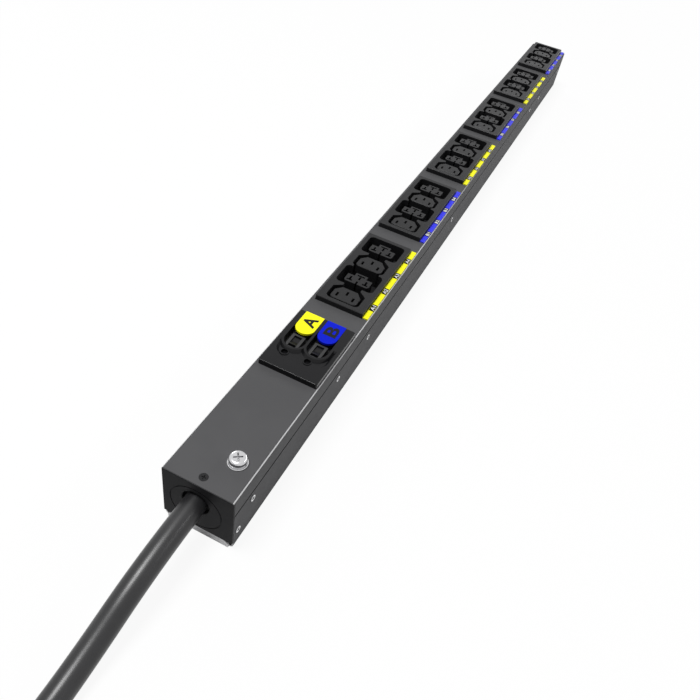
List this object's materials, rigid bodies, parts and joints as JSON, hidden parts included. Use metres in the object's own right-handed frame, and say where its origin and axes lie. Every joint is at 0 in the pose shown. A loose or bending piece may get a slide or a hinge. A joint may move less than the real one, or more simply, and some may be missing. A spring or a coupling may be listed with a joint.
{
  "type": "rack power distribution unit",
  "caption": "Vertical rack power distribution unit: slim black steel chassis, paired breaker rockers, recessed outlet modules, colour-coded label strips, heavy supply cord and plug.",
  "frame": {"origin": "middle of the flat back of the chassis, on the surface that it lies on", "axes": "+X across the outlet face towards the label strips, +Y along the chassis from the cable end to the top end, +Z out of the outlet face"},
  "size_m": [0.145, 1.529, 0.062],
  "materials": {
    "chassis_coat": "satin black powder coat with a fine grain",
    "cap_plastic": "moulded black plastic, lightly textured",
    "black_steel": "black oxide fasteners",
    "zinc_steel": "bright zinc plated steel",
    "bezel_plastic": "semi-gloss black moulding",
    "breaker_plastic": "black thermoset moulding",
    "rocker_plastic": "semi-gloss black rocker",
    "pin_steel": "plain steel pins",
    "bank_yellow": "satin yellow colour code",
    "bank_blue": "satin blue colour code",
    "plate_black": "dark number plates",
    "outlet_plastic": "black moulding, lightly textured",
    "core_plastic": "black moulded inserts",
    "contact_brass": "plain brass and tinned copper",
    "lead_line_plastic": "brown insulation",
    "lead_neutral_plastic": "light blue insulation",
    "lead_earth_plastic": "green insulation with a yellow stripe",
    "cord_rubber": "black cord jacket, satin",
    "tie_fabric": "black hook-and-loop tie",
    "plug_plastic": "blue industrial plug moulding"
  },
  "bodies": {
    "chassis": {"bank_leads": "lead_line_plastic", "bank_tab_a": "bank_yellow", "bank_tab_b": "bank_blue", "breaker_bezel": "bezel_plastic", "breaker_bodies": "breaker_plastic", "breaker_terminals": "contact_brass", "cable_end_cap": "cap_plastic", "cap_screw": "black_steel", "cord_end": "cord_rubber", "cord_gland": "cap_plastic", "cord_hank": "cord_rubber", "cord_tail": "cord_rubber", "earth_busbars": "contact_brass", "earth_contacts": "contact_brass", "earth_lock_washer": "zinc_steel", "earth_nut": "zinc_steel", "earth_screw": "zinc_steel", "earth_washer": "zinc_steel", "front_cover": "chassis_coat", "gland_nut": "cap_plastic", "hank_tie": "tie_fabric", "label_strip_1": "bank_yellow", "label_strip_2": "bank_blue", "label_strip_3": "bank_yellow", "label_strip_4": "bank_blue", "label_strip_5": "bank_yellow", "label_strip_6": "bank_blue", "lead_earth": "lead_earth_plastic", "lead_line": "lead_line_plastic", "lead_neutral": "lead_neutral_plastic", "line_busbars": "contact_brass", "line_contacts": "contact_brass", "module_rear_covers": "outlet_plastic", "neutral_busbars": "contact_brass", "neutral_contacts": "contact_brass", "number_plates": "plate_black", "outlet_cores_1": "core_plastic", "outlet_cores_2": "core_plastic", "outlet_cores_3": "core_plastic", "outlet_cores_4": "core_plastic", "outlet_cores_5": "core_plastic", "outlet_cores_6": "core_plastic", "outlet_housing_1": "outlet_plastic", "outlet_housing_2": "outlet_plastic", "outlet_housing_3": "outlet_plastic", "outlet_housing_4": "outlet_plastic", "outlet_housing_5": "outlet_plastic", "outlet_housing_6": "outlet_plastic", "plug_body": "plug_plastic", "plug_nut": "plug_plastic", "plug_pins": "contact_brass", "plug_shroud": "plug_plastic", "power_cord": "cord_rubber", "rear_channel": "chassis_coat", "rear_inserts": "zinc_steel", "rocker_pins": "pin_steel", "side_rivets": "black_steel", "top_end_cap": "cap_plastic"},
    "rocker_a": {"breaker_rocker_a": "rocker_plastic"},
    "rocker_b": {"breaker_rocker_b": "rocker_plastic"}
  },
  "joints": [
    {"name": "rocker_a_press", "type": "hinge", "parent": "chassis", "child": "rocker_a", "pos_m": [-0.01, -0.3351, 0.0526], "axis": [1, 0, 0], "range_deg": [0, 22]},
    {"name": "rocker_b_press", "type": "hinge", "parent": "chassis", "child": "rocker_b", "pos_m": [0.0089, -0.3351, 0.0526], "axis": [1, 0, 0], "range_deg": [0, 22]}
  ]
}
